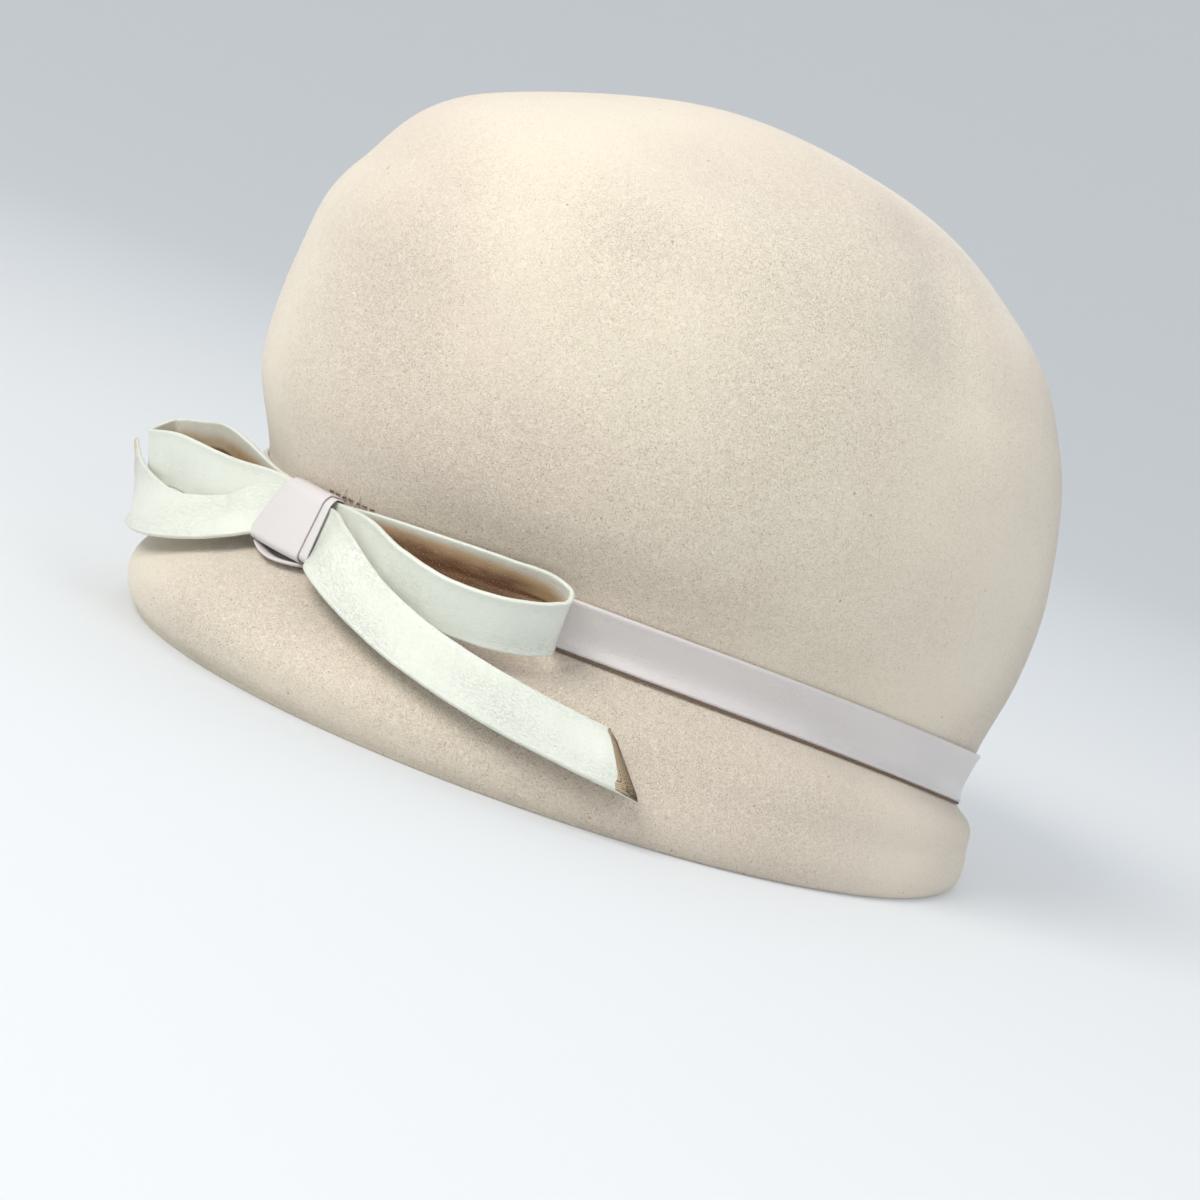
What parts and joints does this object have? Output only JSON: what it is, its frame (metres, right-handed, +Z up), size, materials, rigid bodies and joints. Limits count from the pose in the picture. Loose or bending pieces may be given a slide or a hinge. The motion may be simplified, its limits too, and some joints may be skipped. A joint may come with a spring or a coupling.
{
  "type": "cloche hat",
  "caption": "Blocked felt cloche hat with a close bell-shaped crown, a short brim turned down in front, a narrow folded band round the waist and a flat bow with two loops and two tails",
  "frame": {"origin": "on the ground under the middle of the hat's bounding box, level with the edge of the brim it rests on", "axes": "+Z up through the crown, -Y out of the front of the hat, +X to the wearer's left"},
  "size_m": [0.198, 0.2244, 0.1555],
  "materials": {
    "felt": "matte wool felt, cream",
    "band": "thin coated strip, pale grey-lilac, glossy",
    "bow": "thin coated strip, pale greenish white, finely crinkled and glossy",
    "wrap": "thin coated strip, pale lilac white, smooth"
  },
  "bodies": {
    "root": {"felt_body": "felt", "hat_band": "band", "bow_loops": "bow", "bow_tails": "bow", "bow_knot": "wrap"}
  },
  "joints": []
}
